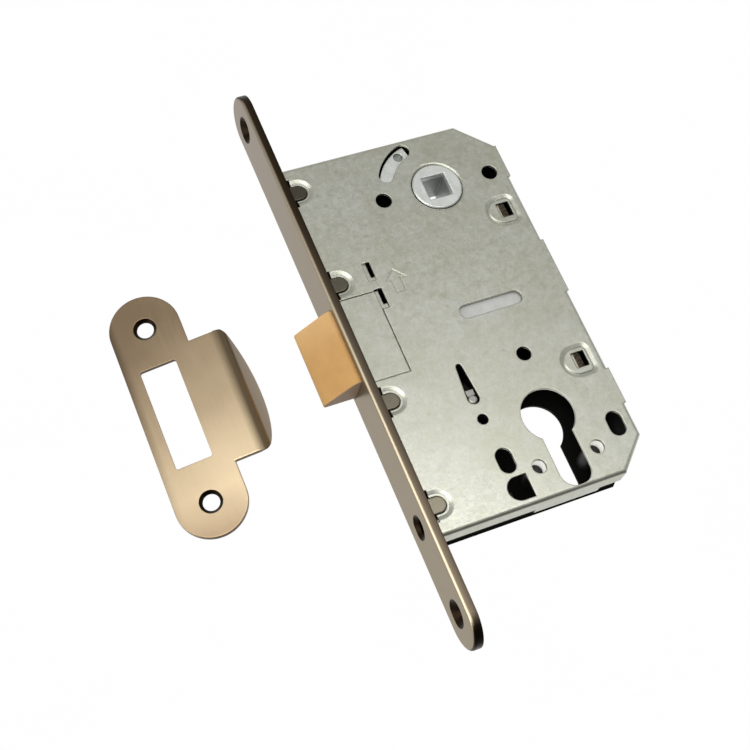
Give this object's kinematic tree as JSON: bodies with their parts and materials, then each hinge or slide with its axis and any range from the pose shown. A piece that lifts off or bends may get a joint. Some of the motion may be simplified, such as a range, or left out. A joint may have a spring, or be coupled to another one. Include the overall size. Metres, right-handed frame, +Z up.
{
  "type": "mortise lock",
  "caption": "Mortise lock with a bevelled latch, round-ended faceplate, square follower and Euro-profile cut-out, with a lipped strike plate beside it.",
  "frame": {"origin": "on the faceplate's front face, mid-width, at the height of the follower's axis", "axes": "+X into the door, away from the faceplate's front; +Y through the door's thickness, away from the cover; +Z up along the faceplate"},
  "size_m": [0.1398, 0.018, 0.196],
  "materials": {
    "antique_bronze": "brushed antique bronze plating",
    "galvanised_steel": "galvanised sheet, rolled",
    "nickel_steel": "dull nickel",
    "ochre_nylon": "moulded, fine matt",
    "white_nylon": "moulded, natural",
    "zinc_alloy": "die-cast, tumbled",
    "plain_steel": "bright zinc",
    "spring_steel": "drawn wire",
    "browned_steel": "browned, worn"
  },
  "bodies": {
    "case": {"case_back": "galvanised_steel", "case_cover": "galvanised_steel", "faceplate": "antique_bronze", "lug_brackets": "nickel_steel", "latch_guides": "white_nylon", "latch_hatch": "galvanised_steel", "spring_stop": "plain_steel", "spring_guide_rod": "plain_steel", "latch_spring": "spring_steel", "return_spring": "spring_steel", "return_spring_post": "plain_steel", "retractor_pivot": "plain_steel", "key_lever_axle": "plain_steel", "tenon_posts": "browned_steel", "screw_sleeves": "plain_steel"},
    "latch": {"latch_head": "ochre_nylon", "latch_carriage": "white_nylon", "latch_pin": "plain_steel"},
    "follower": {"follower_hub": "zinc_alloy"},
    "retractor": {"retractor_lever": "plain_steel"},
    "key_lever": {"key_lever": "plain_steel"},
    "reversing_catch": {"reversing_catch": "galvanised_steel"},
    "strike": {"strike_plate": "antique_bronze"}
  },
  "joints": [
    {"name": "follower_turn", "type": "hinge", "parent": "case", "child": "follower", "pos_m": [0.05, 0, 0], "axis": [0, 1, 0], "range_deg": [0, 35], "stiffness_Nm_per_rad": 0.6, "springref_deg": -17.19, "deforming": ["return_spring"]},
    {"name": "latch_slide", "type": "slide", "parent": "case", "child": "latch", "axis": [1, 0, 0], "range_m": [0, 0.0106], "deforming": ["latch_spring"]},
    {"name": "retractor_swing", "type": "hinge", "parent": "case", "child": "retractor", "pos_m": [0.05, 0, -0.025], "axis": [0, 1, 0], "range_deg": [-40, 0]},
    {"name": "key_lever_swing", "type": "hinge", "parent": "case", "child": "key_lever", "pos_m": [0.0301, 0, -0.0728], "axis": [0, 1, 0], "range_deg": [0, 41.2]},
    {"name": "reversing_catch_slide", "type": "slide", "parent": "case", "child": "reversing_catch", "axis": [0, 0, 1], "range_m": [0, 0.003]},
    {"name": "strike_slide", "type": "slide", "parent": "case", "child": "strike", "axis": [-1, 0, 0], "range_m": [0, 0.03]}
  ],
  "couplings": [
    {"joint": "latch_slide", "follows": "follower_turn", "m_per_rad": 0.017189},
    {"joint": "retractor_swing", "follows": "follower_turn", "ratio": -1.1355},
    {"joint": "key_lever_swing", "follows": "follower_turn", "ratio": 1.1707}
  ]
}
